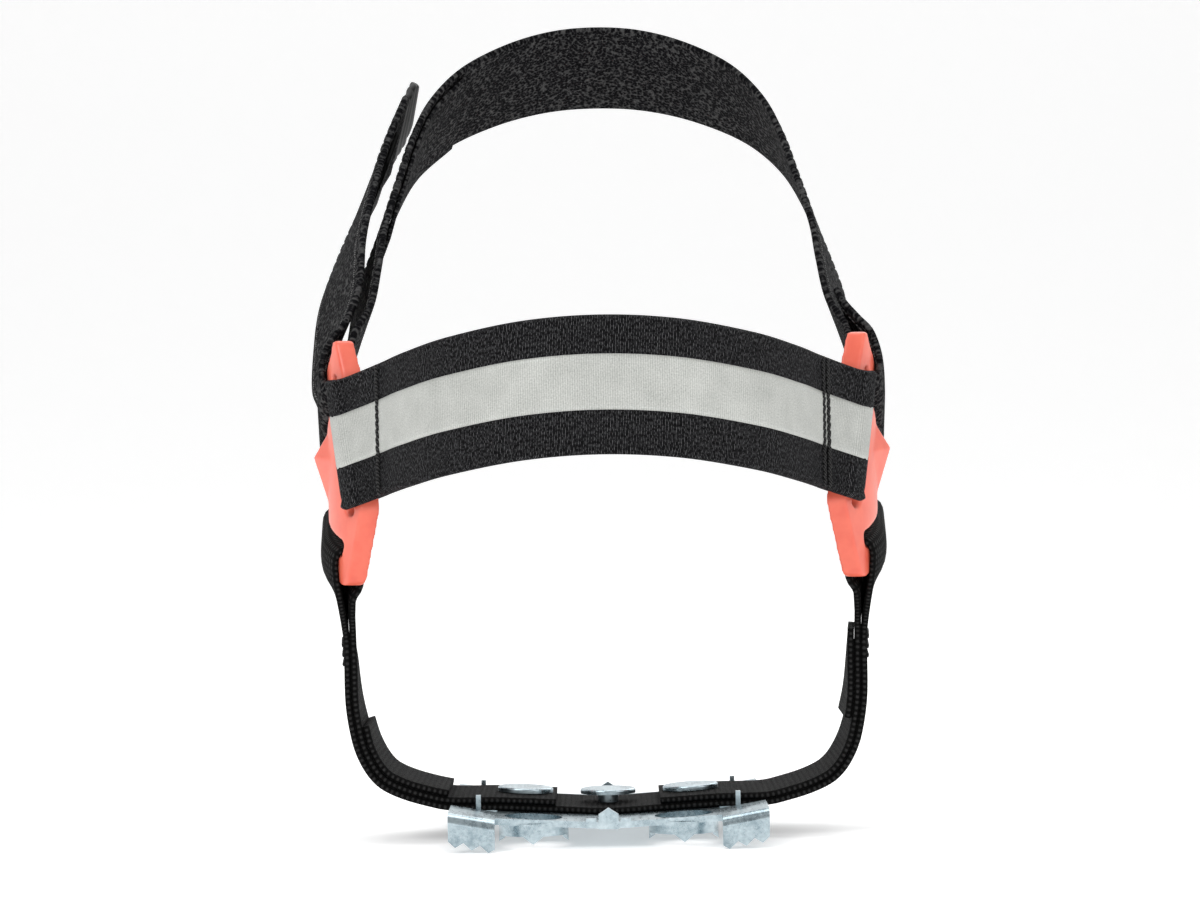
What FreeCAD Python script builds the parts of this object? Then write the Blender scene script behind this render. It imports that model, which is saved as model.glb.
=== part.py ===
import FreeCAD, Part
import math
import os
from FreeCAD import Vector

os.makedirs("parts", exist_ok=True)

# Millimetres. X is across the boot, Y points to the toe, Z is up. The tooth tips stand on Z = 0
# and Y = 0 is the middle of the traction plate until everything is centred at the end.

SHEET = 1.2                  # steel thickness of the traction plate
WEBBING = 1.25               # one layer of webbing
LAYER_GAP = 0.05             # between two layers that lie on each other
STRAP_WIDTH = 25.0
STRAP_HALF = STRAP_WIDTH / 2

# Traction plate: half of its bent section, as (X, height of the top face).
PLATE_TOP = [(0.0, 4.8), (21.0, 5.9), (29.6, 7.4)]
PLATE_HALF_DEPTH = 25.7
WING_IN_X = 21.0
WING_OUT_X = 29.6
WING_IN_Y = 14.3
TAB_OUT_Y = 30.0
TAB_BEND = 1.7               # outside radius of the bend above a toothed tab
TOOTH_PITCH = 3.05
TOOTH_DEPTH = 1.15
TOOTH_FIRST_X = 22.2
TOOTH_RISE = 0.17            # how much the row of teeth climbs per millimetre outward

CROWN_X = 14.0
CROWN_Y = 19.8
CROWN_OUT_R = 6.5
CROWN_IN_R = 5.4
CROWN_TOP = 4.75
CROWN_SHOULDER = 2.4
CROWN_TIP = 1.0

CLEAT_HALF = 1.85            # up-turned centre point of the front and rear edge
CLEAT_EAVE = 6.3
CLEAT_PEAK = 7.5
SHOULDER_IN = 2.25
SHOULDER_OUT = 4.2
SHOULDER_TOP = 5.6
LUG_X = 24.4                 # small strap guides on the wings
LUG_WIDTH = 0.9
LUG_TOP = 9.2

RIVET_X = 16.0
RIVET_HEAD_R = 5.3
RIVET_HEAD = 0.9
RIVET_SHANK_R = 2.0
RIVET_HOLE_R = 2.15
RIVET_TAIL_R = 3.6
RIVET_TAIL = 0.8

# Sole strap: its lower and outer face as (X, Z), from the middle of the plate to the flex line.
STRAP_PATH = [
    (0.0, 4.85), (21.0, 5.95), (26.0, 5.98), (30.5, 6.15), (34.0, 6.9), (38.4, 8.2), (42.0, 9.8),
    (44.3, 11.6), (46.2, 14.2), (47.8, 17.6), (48.9, 21.5), (49.7, 25.5), (50.1, 29.0),
    (50.4, 33.4), (50.8, 38.8), (51.0, 42.0),
]
FLEX_LOW_Z = 40.4            # the strap bends between these two heights
FLEX_HIGH_Z = 44.4
FLEX_GAP = 0.05
LEFT_TAIL_TOP_Z = 26.0
RIGHT_TAIL_END_Z = 20.0

# Buckle: a moulded triangle, curved round the heel. Its outline is (Y, Z).
BUCKLE_THICK = 3.2
BUCKLE_START = (43.0, -16.5)
BUCKLE_REAR_HEADING = 32.0   # degrees off straight ahead
BUCKLE_FRONT_HEADING = 3.0
BUCKLE_REAR_RUN = 8.5
BUCKLE_ARC_R = 26.0
BUCKLE_FRONT_RUN = 28.0
BUCKLE_SIDE_HEADING = 22.0   # where the sole strap goes round the lower bar
TIP_LOW = (-10.0, 48.3)
SHOULDER_LOW = (19.5, 57.5)
TIP_FRONT = (23.5, 73.4)
BAR_TOP = (-4.5, 93.0)
TIP_TOP = (-6.6, 97.0)
REAR_HIGH = (-9.8, 89.5)
REAR_LOW = (-15.5, 63.5)
CORNER_ROUND = 2.0
TIP_ROUND = 1.2
SLOT_ROUND = 1.0
SLOT_WIDTH = 3.2
BAR_WIDTH = 5.0
REAR_BAR = 2.7               # depth of the rear bar along Y
REAR_SLOT = 2.7
SOLE_SLOT = (3.3, 31.3)      # start and end along the lower bar
INSTEP_SLOT = (3.4, 30.0)    # start and end along the upper bar
BOSS_BASE = [(-7.0, 72.5), (-0.5, 79.0), (11.5, 67.5), (1.5, 62.8)]
BOSS_PEAK = (3.0, 73.3)
BOSS_HEIGHT = 2.8            # the faceted boss stands this far off the buckle's outer face

ELASTIC = 1.6
BAR_CLEAR = 0.35
LOOP_WALL = 1.45
LOOP_ROWS = (-7.9, -4.0, 0.0, 4.0, 8.0, 16.9)   # places along Y where the sole loop is shaped
LOOP_SHIFT = 4.5             # the risers lead forward to the middle of the loops
SHIFT_FROM_Z = 14.0

# Heel band: middle of its outer face in plan, and its height at the back and at the seams.
BAND_PLAN = [
    (0.0, -49.0), (14.3, -47.4), (28.0, -40.0), (36.5, -29.6), (41.3, -20.6),
]
BAND_Z_BACK = 85.4
BAND_Z_SEAM = 77.9
BAND_END_X = 41.3
LOOP_START_X = 41.7
REFLECTIVE_WIDTH = 10.0
REFLECTIVE_THICK = 0.25
REFLECTIVE_DROP = 0.5        # the strip sits this much above the middle of the band
THREAD = 0.9

# Instep strap: distance up from the upper bar against the half width of the arch.
INSTEP_PATH = [
    (6.5, 49.7), (15.0, 47.9), (25.0, 46.7), (33.0, 45.9), (40.0, 44.4), (48.0, 42.4), (58.0, 39.8),
    (67.0, 36.0), (75.0, 29.5), (81.0, 20.0), (84.5, 10.0), (85.5, 0.0),
]
INSTEP_LEAN = 0.30           # how far the front edge leans out per millimetre of width
INSTEP_LEAN_X = 47.0         # at this distance out; less toward the middle
INSTEP_FLEX_LOW = 4.0
INSTEP_FLEX_HIGH = 8.5
NECK_INNER_X = 49.6          # webbing closed above an upper bar: inner and outer face
NECK_OUTER_X = 54.0
LEFT_NECK_OUTER_X = 54.6
NECK_LEAN = 0.1
FLEX_INNER_X = 48.4          # the same at the top of the bending length
FLEX_OUTER_X = 53.4
LEFT_FLEX_OUTER_X = 54.0
RISER_INNER_X = 48.35        # the sole strap's faces over its bending length
RISER_OUTER_X = 50.9
INSTEP_THICK = 1.8
PILE_THICK = 0.8
HOOK_THICK = 1.0
TAIL_THICK = 1.5
TAIL_PATH = [
    (6.5, 53.6), (12.0, 53.0), (20.0, 52.0), (31.0, 51.5), (40.0, 49.9), (52.0, 46.9),
    (60.0, 44.3), (68.0, 41.2),
]
TAIL_LEAN = 0.42
TAIL_LEAN_X = 51.5
HOOK_RANGE = (50.0, 66.0)
PILE_RANGE = (30.0, 80.0)
TAB_LENGTH = 9.0
RIGHT_TAIL_PATH = [(6.5, 53.6), (10.0, 52.4), (14.0, 50.8), (17.0, 50.0)]

CENTRE_SAMPLES = 15


def extruded(points, direction):
    """Solid from a closed outline of 3-D points, pushed along a direction."""
    wire = Part.makePolygon(points + [points[0]])
    return Part.Face(wire).extrude(direction)


def plate_height(x):
    """Height of the plate's top face at a distance across."""
    x = abs(x)
    for (x_a, z_a), (x_b, z_b) in zip(PLATE_TOP, PLATE_TOP[1:]):
        if x <= x_b:
            return z_a + (z_b - z_a) * (x - x_a) / (x_b - x_a)
    return PLATE_TOP[-1][1]


def mirrored(shape):
    """The same shape on the other side of the centre plane."""
    return shape.mirror(Vector(0, 0, 0), Vector(1, 0, 0))


def turned(shape):
    """The same shape at the other end of the plate."""
    return shape.mirror(Vector(0, 0, 0), Vector(0, 1, 0))


def plate_core():
    """Bent sheet over the whole centre of the plate, with the two riveted rows' outline."""
    half = [p for p in PLATE_TOP if p[0] <= WING_IN_X]
    right = [Vector(x, -PLATE_HALF_DEPTH, z) for x, z in half]
    left = [Vector(-x, -PLATE_HALF_DEPTH, z) for x, z in half[:0:-1]]
    top = left + right
    low = [p - Vector(0, 0, SHEET) for p in reversed(top)]
    return extruded(top + low, Vector(0, 2 * PLATE_HALF_DEPTH, 0))


def toothed_wing():
    """One corner wing with its bent-down tab and three teeth, at plus X and minus Y."""
    low_x, low_z = PLATE_TOP[1]
    high_x, high_z = PLATE_TOP[2]
    out = TAB_OUT_Y
    inner = TAB_BEND - SHEET
    c = math.cos(math.pi / 4)
    a = Vector(low_x, -WING_IN_Y, low_z)
    b = Vector(low_x, -out + TAB_BEND, low_z)
    corner_mid = Vector(low_x, -out + TAB_BEND * (1 - c), low_z - TAB_BEND * (1 - c))
    d = Vector(low_x, -out, low_z - TAB_BEND)
    e = Vector(low_x, -out, -3.0)
    f = Vector(low_x, -out + SHEET, -3.0)
    g = Vector(low_x, -out + SHEET, low_z - TAB_BEND)
    in_mid = Vector(low_x, -out + SHEET + inner * (1 - c), low_z - SHEET - inner * (1 - c))
    h = Vector(low_x, -out + TAB_BEND, low_z - SHEET)
    k = Vector(low_x, -WING_IN_Y, low_z - SHEET)
    edges = [
        Part.makeLine(a, b),
        Part.Arc(b, corner_mid, d).toShape(),
        Part.makeLine(d, e),
        Part.makeLine(e, f),
        Part.makeLine(f, g),
        Part.Arc(g, in_mid, h).toShape(),
        Part.makeLine(h, k),
        Part.makeLine(k, a),
    ]
    wing = Part.Face(Part.Wire(edges)).extrude(Vector(high_x - low_x, 0, high_z - low_z))
    cut = [(low_x - 1, -5.0), (low_x - 1, TOOTH_DEPTH)]
    for i in range(3):
        tip = TOOTH_FIRST_X + i * TOOTH_PITCH
        base = (tip - TOOTH_FIRST_X) * TOOTH_RISE
        cut.append((tip, base))
        cut.append((tip + TOOTH_PITCH / 2, base + TOOTH_DEPTH + TOOTH_RISE * TOOTH_PITCH / 2))
    cut.append((high_x + 1, cut[-1][1] + TOOTH_DEPTH / 2))
    cut.append((high_x + 1, -5.0))
    below = extruded([Vector(x, -out - 1, z) for x, z in cut], Vector(0, 4, 0))
    return wing.cut(below)


def crown(x, y):
    """Punched collar with four points, hanging below the plate."""
    height = CROWN_TOP - CROWN_TIP
    ring = Part.makeCylinder(CROWN_OUT_R, height, Vector(x, y, CROWN_TIP))
    ring = ring.cut(Part.makeCylinder(CROWN_IN_R, height + 4, Vector(x, y, CROWN_TIP - 2)))
    half_gap = CROWN_OUT_R * math.sin(math.pi / 4)
    notch = [
        (-half_gap, CROWN_TIP - 1), (-half_gap, CROWN_TIP), (-half_gap + 1.5, CROWN_SHOULDER),
        (half_gap - 1.5, CROWN_SHOULDER), (half_gap, CROWN_TIP), (half_gap, CROWN_TIP - 1),
    ]
    for quarter in range(4):
        tool = extruded([Vector(0, s, z) for s, z in notch], Vector(CROWN_OUT_R + 2, 0, 0))
        tool.rotate(Vector(0, 0, 0), Vector(0, 0, 1), 45 + 90 * quarter)
        tool.translate(Vector(x, y, 0))
        ring = ring.cut(tool)
    return ring


def edge_cleat():
    """Up-turned centre point with its two low shoulders, on the rear edge."""
    y = -PLATE_HALF_DEPTH - 0.4
    low = PLATE_TOP[0][1] - SHEET
    house = [
        (-CLEAT_HALF, low), (CLEAT_HALF, low), (CLEAT_HALF, CLEAT_EAVE), (0, CLEAT_PEAK),
        (-CLEAT_HALF, CLEAT_EAVE),
    ]
    solid = extruded([Vector(x, y, z) for x, z in house], Vector(0, SHEET, 0))
    for side in (-1, 1):
        start = SHOULDER_IN if side > 0 else -SHOULDER_OUT
        block = Part.makeBox(SHOULDER_OUT - SHOULDER_IN, SHEET, SHOULDER_TOP - low - 0.2)
        block.translate(Vector(start, y, low + 0.2))
        solid = solid.fuse(block)
    return solid


def strap_guide():
    """Small up-turned lug beside the strap, on one wing."""
    low = plate_height(LUG_X) - SHEET / 2
    lug = Part.makeBox(LUG_WIDTH, SHEET, LUG_TOP - low)
    lug.translate(Vector(LUG_X - LUG_WIDTH / 2, -WING_IN_Y - SHEET, low))
    return lug


def traction_plate():
    """Stamped plate with wings, teeth, crowns, cleats and rivet holes."""
    plate = plate_core()
    for add in (toothed_wing(), strap_guide()):
        for piece in (add, mirrored(add)):
            plate = plate.fuse(piece).fuse(turned(piece))
    for add in (edge_cleat(), turned(edge_cleat())):
        plate = plate.fuse(add)
    for x in (-CROWN_X, CROWN_X):
        for y in (-CROWN_Y, CROWN_Y):
            plate = plate.cut(Part.makeCylinder(CROWN_IN_R, 20, Vector(x, y, 0)))
            plate = plate.fuse(crown(x, y))
    for x in (-RIVET_X, 0, RIVET_X):
        plate = plate.cut(Part.makeCylinder(RIVET_HOLE_R, 20, Vector(x, 0, 0)))
    return plate.removeSplitter()


def strap_rivets():
    """Three rivets with wide flat heads above the webbing and clinched tails below the plate."""
    solids = []
    for x in (-RIVET_X, 0, RIVET_X):
        rise = plate_height(WING_IN_X) - plate_height(0)
        above = plate_height(x) + 2 * (WEBBING + LAYER_GAP) + 0.15
        above += 0.0 if x else RIVET_HEAD_R * rise / WING_IN_X
        tilt = math.copysign(math.degrees(math.atan2(rise, WING_IN_X)), x) if x else 0.0
        below = plate_height(x) - SHEET - 0.08
        head = Part.makeCylinder(RIVET_HEAD_R, RIVET_HEAD, Vector(0, 0, above))
        head = head.makeFillet(0.35, [head.Edges[0]])
        shank = Part.makeCylinder(RIVET_SHANK_R, above - below + 0.3, Vector(0, 0, below - 0.1))
        tail = Part.makeCylinder(RIVET_TAIL_R, RIVET_TAIL, Vector(0, 0, below - RIVET_TAIL))
        rivet = head.fuse(shank).fuse(tail).removeSplitter()
        rivet.rotate(Vector(0, 0, plate_height(x)), Vector(0, 1, 0), -tilt)
        rivet.translate(Vector(x, 0, 0))
        solids.append(rivet)
    return Part.makeCompound(solids)


def strip(stations, near, far, low, high):
    """Webbing solid through stations (middle, normal, across), between offsets on both."""
    wires = []
    for middle, normal, across in stations:
        corners = [
            middle + normal * near + across * low,
            middle + normal * far + across * low,
            middle + normal * far + across * high,
            middle + normal * near + across * high,
        ]
        wires.append(Part.makePolygon(corners + [corners[0]]))
    return Part.makeLoft(wires, True, True)


def stations_on(points, across_of):
    """Stations along a list of 3-D points; the normal is square to the path and the width."""
    found = []
    for i, point in enumerate(points):
        before = points[max(i - 1, 0)]
        after = points[min(i + 1, len(points) - 1)]
        along = (after - before).normalize()
        across = across_of(point)
        found.append((point, along.cross(across).normalize(), across))
    return found


def smooth(points, count):
    """Evenly spaced points on a smooth curve through the given ones."""
    curve = Part.BSplineCurve()
    curve.interpolate(points)
    return curve.toShape().discretize(count)


def forward_shift(z):
    """How far a riser has moved forward at a height."""
    share = min(max((z - SHIFT_FROM_Z) / (FLEX_HIGH_Z - SHIFT_FROM_Z), 0.0), 1.0)
    return LOOP_SHIFT * share * share * (3 - 2 * share)


def sole_path():
    """Stations of the sole strap's lower face, from the left flex line to the right one."""
    flat = [Vector(x, 0, z) for x, z in STRAP_PATH[:3]]
    curve = smooth([Vector(x, 0, z) for x, z in STRAP_PATH[3:]], CENTRE_SAMPLES)
    right = [Vector(p.x, forward_shift(p.z), p.z) for p in flat + curve]
    left = [Vector(-p.x, p.y, p.z) for p in right[:0:-1]]
    return stations_on(left + right, lambda point: Vector(0, 1, 0))


def sole_layer(number, keep):
    """One layer of the sole strap; number 0 is the one on the plate."""
    near = number * (WEBBING + LAYER_GAP)
    picked = [s for s in sole_path() if keep(s[0])]
    layer = strip(picked, near, near + WEBBING, -STRAP_HALF, STRAP_HALF)
    return layer.common(Part.makeBox(200, 200, FLEX_LOW_Z, Vector(-100, -100, 0)))


def drilled(shape):
    """Strap layer with its three rivet holes."""
    for x in (-RIVET_X, 0, RIVET_X):
        shape = shape.cut(Part.makeCylinder(RIVET_HOLE_R, 20, Vector(x, 0, 0)))
    return shape


def bar_tack(side):
    """Three rows of thread across the outer face of a riser."""
    rows = []
    for z in (33.5, 35.5, 37.5):
        x = 50.4 + (z - 33.4) * 0.074 + 0.08
        row = Part.makeBox(THREAD / 2, STRAP_WIDTH - 5, THREAD)
        row.translate(Vector(x, -STRAP_HALF + 2.5 + forward_shift(z), z))
        rows.append(row if side > 0 else mirrored(row))
    return Part.makeCompound(rows)


def heading(degrees):
    """Direction in plan, measured from straight ahead toward the outside."""
    angle = math.radians(degrees)
    return Vector(math.sin(angle), math.cos(angle), 0)


def outside(degrees):
    """Square to a heading, pointing away from the boot."""
    angle = math.radians(degrees)
    return Vector(math.cos(angle), -math.sin(angle), 0)


PRISM_IN_X = 36.0            # a prism from here outward passes right through a buckle
PRISM_DEPTH = 26.0
SKIN = 0.5

ARC_START = Vector(*BUCKLE_START, 0) + heading(BUCKLE_REAR_HEADING) * BUCKLE_REAR_RUN
ARC_CENTRE = ARC_START - outside(BUCKLE_REAR_HEADING) * BUCKLE_ARC_R
ARC_END = ARC_CENTRE + outside(BUCKLE_FRONT_HEADING) * BUCKLE_ARC_R


def buckle_x(y):
    """Distance out to the middle of the buckle's wall at a place along the boot."""
    if y < ARC_START.y:
        return BUCKLE_START[0] + (y - BUCKLE_START[1]) * math.tan(math.radians(BUCKLE_REAR_HEADING))
    if y < ARC_END.y:
        return ARC_CENTRE.x + math.sqrt(BUCKLE_ARC_R ** 2 - (y - ARC_CENTRE.y) ** 2)
    return ARC_END.x + (y - ARC_END.y) * math.tan(math.radians(BUCKLE_FRONT_HEADING))


def buckle_wall():
    """Curved wall that the buckle is cut from."""
    middle = (BUCKLE_REAR_HEADING + BUCKLE_FRONT_HEADING) / 2
    start = Vector(*BUCKLE_START, 0)
    end = ARC_END + heading(BUCKLE_FRONT_HEADING) * BUCKLE_FRONT_RUN
    sides = []
    for offset in (BUCKLE_THICK / 2, -BUCKLE_THICK / 2):
        rear = outside(BUCKLE_REAR_HEADING) * offset
        front = outside(BUCKLE_FRONT_HEADING) * offset
        on_arc = ARC_CENTRE + outside(middle) * (BUCKLE_ARC_R + offset)
        sides.append((start + rear, ARC_START + rear, on_arc, ARC_END + front, end + front))
    (a, b, c, d, e), (p, q, r, s, t) = sides
    edges = [
        Part.makeLine(a, b), Part.Arc(b, c, d).toShape(), Part.makeLine(d, e),
        Part.makeLine(e, t), Part.makeLine(t, s), Part.Arc(s, r, q).toShape(),
        Part.makeLine(q, p), Part.makeLine(p, a),
    ]
    wall = Part.Face(Part.Wire(edges)).extrude(Vector(0, 0, 60))
    wall.translate(Vector(0, 0, 42))
    return wall


def rounded_prism(outline, radii):
    """Solid across the right-hand buckle from a (Y, Z) outline with a radius at each corner."""
    solid = extruded([Vector(PRISM_IN_X, y, z) for y, z in outline], Vector(PRISM_DEPTH, 0, 0))
    for (y, z), radius in zip(outline, radii):
        corner = Vector(PRISM_IN_X + PRISM_DEPTH / 2, y, z)
        edges = [e for e in solid.Edges if e.BoundBox.Center.distanceToPoint(corner) < SKIN / 10]
        solid = solid.makeFillet(radius, edges)
    return solid


def along_bar(start, end, distance, inset):
    """Point at a distance along an edge of the outline, set in toward the middle."""
    run = Vector(0, end[0] - start[0], end[1] - start[1])
    run.normalize()
    inward = Vector(0, -run.z, run.y)
    point = Vector(0, start[0], start[1]) + run * distance + inward * inset
    return (point.y, point.z)


def slot_outline(start, end, span, inward):
    """Outline of a slot beside an edge of the buckle; inward is 1 or -1 by the edge's sense."""
    near = inward * BAR_WIDTH
    far = inward * (BAR_WIDTH + SLOT_WIDTH)
    return [
        along_bar(start, end, span[0], near),
        along_bar(start, end, span[1], near),
        along_bar(start, end, span[1], far),
        along_bar(start, end, span[0], far),
    ]


def rear_slot():
    """Outline of the slot for the elastic, beside the leaning rear bar."""
    lean = (REAR_HIGH[0] - REAR_LOW[0]) / (REAR_HIGH[1] - REAR_LOW[1])
    low_z = BAND_Z_SEAM - 2.5 - STRAP_HALF - 0.8
    high_z = low_z + STRAP_WIDTH + 1.6
    low_y = REAR_LOW[0] + REAR_BAR + (low_z - REAR_LOW[1]) * lean
    high_y = low_y + (high_z - low_z) * lean
    return [
        (low_y, low_z), (low_y + REAR_SLOT, low_z), (high_y + REAR_SLOT, high_z),
        (high_y, high_z),
    ]


def boss():
    """Faceted boss between the three slots: a low pyramid through the buckle's wall."""
    deep = BUCKLE_THICK / 2 - SKIN
    ring = [Vector(buckle_x(y) + deep, y, z) for y, z in BOSS_BASE]
    y, z = BOSS_PEAK
    peak = Vector(buckle_x(y) + BUCKLE_THICK / 2 + BOSS_HEIGHT, y, z)
    root = Vector(buckle_x(y), y, z)
    faces = []
    for a, b in zip(ring, ring[1:] + ring[:1]):
        for tip in (peak, root):
            faces.append(Part.Face(Part.makePolygon([a, b, tip, a])))
    solid = Part.Solid(Part.Shell(faces))
    return solid if solid.Volume > 0 else solid.reversed()


def buckle():
    """Right-hand buckle: curved triangular wall with three slots and a boss between them."""
    outline = [TIP_LOW, SHOULDER_LOW, TIP_FRONT, BAR_TOP, TIP_TOP, REAR_HIGH, REAR_LOW]
    rounds = [CORNER_ROUND] * 3 + [TIP_ROUND] * 3 + [CORNER_ROUND]
    body = buckle_wall().common(rounded_prism(outline, rounds))
    slots = [
        slot_outline(TIP_LOW, SHOULDER_LOW, SOLE_SLOT, 1),
        slot_outline(BAR_TOP, TIP_FRONT, INSTEP_SLOT, -1),
        rear_slot(),
    ]
    for slot in slots:
        body = body.cut(rounded_prism(slot, [SLOT_ROUND] * 4))
    return body.fuse(boss())


def sole_loop():
    """Right-hand end of the sole strap, turned over the lower bar and down to the flex line."""
    run = Vector(0, SHOULDER_LOW[0] - TIP_LOW[0], SHOULDER_LOW[1] - TIP_LOW[1])
    run.normalize()
    rise = run.z / run.y
    half_up = BAR_WIDTH / 2 / run.y
    reach = BUCKLE_THICK / 2 / math.cos(math.radians(BUCKLE_SIDE_HEADING)) + BAR_CLEAR
    outer = []
    inner = []
    for y in LOOP_ROWS:
        x = buckle_x(y)
        bar_low = TIP_LOW[1] + (y - TIP_LOW[0]) * rise
        bar_high = bar_low + 2 * half_up
        near = x - reach
        far = x + reach
        top = bar_high + BAR_CLEAR
        neck = bar_low - 1.6
        inner.append([
            (near, top - 0.2), (near + 0.2, top), (far - 0.2, top), (far, top - 0.2),
            (far, bar_low - 0.2), (50.2, neck - 1.8), (49.2, neck - 1.8), (near, bar_low - 0.2),
        ])
        outer.append([
            (near - WEBBING, top - 0.6), (near + 0.4, top + WEBBING), (far - 0.4, top + WEBBING),
            (far + WEBBING, top - 0.6), (far + WEBBING, bar_low), (50.95, FLEX_HIGH_Z),
            (48.3, FLEX_HIGH_Z), (near - WEBBING, bar_low),
        ])
    solids = []
    for sections in (outer, inner):
        wires = []
        for y, section in zip(LOOP_ROWS, sections):
            points = [Vector(x, y, z) for x, z in section]
            wires.append(Part.makePolygon(points + [points[0]]))
        solids.append(Part.makeLoft(wires, True, True))
    return solids[0].cut(solids[1])


def band_height(x):
    """Height of the middle of the heel band at a distance across."""
    share = (x / BAND_END_X) ** 2
    return BAND_Z_BACK - (BAND_Z_BACK - BAND_Z_SEAM) * share


def band_stations():
    """Stations on the outer face of the heel band, from left to right."""
    right = smooth([Vector(x, y, 0) for x, y in BAND_PLAN], CENTRE_SAMPLES)
    points = [Vector(-p.x, p.y, 0) for p in right[:0:-1]] + right
    found = []
    for point, normal, across in stations_on(points, lambda p: Vector(0, 0, 1)):
        lifted = Vector(point.x, point.y, band_height(point.x))
        found.append((lifted, normal, across))
    return found


def trimmed(shape, x_limit):
    """What lies within a distance of the centre plane."""
    box = Part.makeBox(2 * x_limit, 200, 200, Vector(-x_limit, -100, -10))
    return shape.common(box)


def beyond(shape, x_limit):
    """What lies further out than a distance on the right."""
    box = Part.makeBox(100, 200, 200, Vector(x_limit, -100, -10))
    return shape.common(box)


def rear_bar_plan(z):
    """Corners of the rear bar in plan at a height, from its inner rear corner round."""
    lean = (REAR_HIGH[0] - REAR_LOW[0]) / (REAR_HIGH[1] - REAR_LOW[1])
    y_rear = REAR_LOW[0] + (z - REAR_LOW[1]) * lean
    y_slot = y_rear + REAR_BAR
    half = BUCKLE_THICK / 2 / math.cos(math.radians(BUCKLE_REAR_HEADING))
    return y_rear, y_slot, half


def heel_loop():
    """Elastic turned round the right rear bar, with both layers running to the seam."""
    low_z = BAND_Z_SEAM - 2.5 - STRAP_HALF
    levels = [low_z, low_z + STRAP_WIDTH / 2, low_z + STRAP_WIDTH]
    outer = []
    inner = []
    for z in levels:
        y_rear, y_slot, half = rear_bar_plan(z)
        rear_x = buckle_x(y_rear)
        slot_x = buckle_x(y_slot)
        c = BAR_CLEAR
        w = LOOP_WALL
        hole = [
            (rear_x - half - c, y_rear - c), (rear_x + half + c * 0.3, y_rear - c),
            (slot_x + half + c, y_slot - 0.2), (slot_x + half + c, y_slot + c),
            (slot_x - half - c * 0.3, y_slot + c), (rear_x - half - c, y_rear + 0.4),
        ]
        skin = [
            (LOOP_START_X - 3, y_rear - c - 5.6), (rear_x + half - 0.8, y_rear - c - w),
            (slot_x + half + c + w, y_slot - 1.0), (slot_x + half + c + w * 0.6, y_slot + c + w),
            (slot_x - half - 0.6, y_slot + c + w), (LOOP_START_X - 3, y_rear - 2.2),
        ]
        outer.append(Part.makePolygon([Vector(x, y, z) for x, y in skin + skin[:1]]))
        inner.append(Part.makePolygon([Vector(x, y, z) for x, y in hole + hole[:1]]))
    body = Part.makeLoft(outer, True, True).cut(Part.makeLoft(inner, True, True))
    return beyond(body, LOOP_START_X)


def heel_skin(z):
    """Outer face of the right heel loop in plan: from inside the seam to the slot."""
    y_rear, y_slot, half = rear_bar_plan(z)
    return (
        Vector(LOOP_START_X - 3, y_rear - BAR_CLEAR - 5.6, z),
        Vector(buckle_x(y_rear) + half - 0.8, y_rear - BAR_CLEAR - LOOP_WALL, z),
        Vector(buckle_x(y_slot) + half + BAR_CLEAR + LOOP_WALL, y_slot - 1.0, z),
    )


def reflective_end():
    """End of the reflective strip on the outer face of the right heel loop."""
    low_z = BAND_Z_SEAM - 2.5 + REFLECTIVE_DROP - REFLECTIVE_WIDTH / 2
    wires = []
    for z in (low_z, low_z + REFLECTIVE_WIDTH):
        a, b, c = heel_skin(z)
        first = (b - a).cross(Vector(0, 0, 1)).normalize()
        second = (c - b).cross(Vector(0, 0, 1)).normalize()
        bend = (first + second) / (1 + first.dot(second))
        near = 0.08
        far = near + REFLECTIVE_THICK
        points = [
            a + first * near, b + bend * near, c + second * near,
            c + second * far, b + bend * far, a + first * far,
        ]
        wires.append(Part.makePolygon(points + [points[0]]))
    return beyond(Part.makeLoft(wires, True, True), LOOP_START_X + THREAD + 0.6)


def heel_seam():
    """Thick line of stitching down the right end of the heel band."""
    z = BAND_Z_SEAM - 2.5
    wires = []
    for level in (z - STRAP_HALF, z + STRAP_HALF):
        a, b, c = heel_skin(level)
        along = (b - a).normalize()
        out = along.cross(Vector(0, 0, 1)).normalize()
        foot = a + along * ((LOOP_START_X + 0.3 - a.x) / along.x) + out * 0.15
        points = [
            foot, foot + along * THREAD, foot + along * THREAD * 0.8 + out * 0.5,
            foot + along * THREAD * 0.2 + out * 0.5,
        ]
        wires.append(Part.makePolygon(points + [points[0]]))
    return Part.makeLoft(wires, True, True)


BAR_MIDDLE = along_bar(BAR_TOP, TIP_FRONT, (INSTEP_SLOT[0] + INSTEP_SLOT[1]) / 2, 0.0)
RUN = Vector(0, TIP_FRONT[0] - BAR_TOP[0], TIP_FRONT[1] - BAR_TOP[1]).normalize()
UP = Vector(0, -RUN.z, RUN.y)
INSTEP_ORIGIN = Vector(0, BAR_MIDDLE[0], BAR_MIDDLE[1])


def instep_point(distance, x):
    """Point of the instep strap's plane, from its distance above the upper bars."""
    return INSTEP_ORIGIN + UP * distance + Vector(x, 0, 0)


def instep_across(point):
    """Width direction of the instep strap; its front edge leans out at the sides."""
    return RUN + Vector(INSTEP_LEAN * point.x / INSTEP_LEAN_X, 0, 0)


def tail_across(point):
    """Width direction of the closure tail; its front edge stands off more near the buckle."""
    return RUN + Vector(TAIL_LEAN * (point.x / TAIL_LEAN_X) ** 3, 0, 0)


def instep_stations(path, count, across_of):
    """Stations on the middle of a one-sided path beside the instep strap, at the right."""
    points = smooth([instep_point(distance, x) for distance, x in path], count)
    return stations_on(points, across_of)


def instep_arch():
    """Stations of the whole instep strap, from the right bar over the top to the left one."""
    right = smooth([instep_point(distance, x) for distance, x in INSTEP_PATH], CENTRE_SAMPLES)
    points = right + [Vector(-p.x, p.y, p.z) for p in right[-2::-1]]
    return stations_on(points, instep_across)


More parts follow.
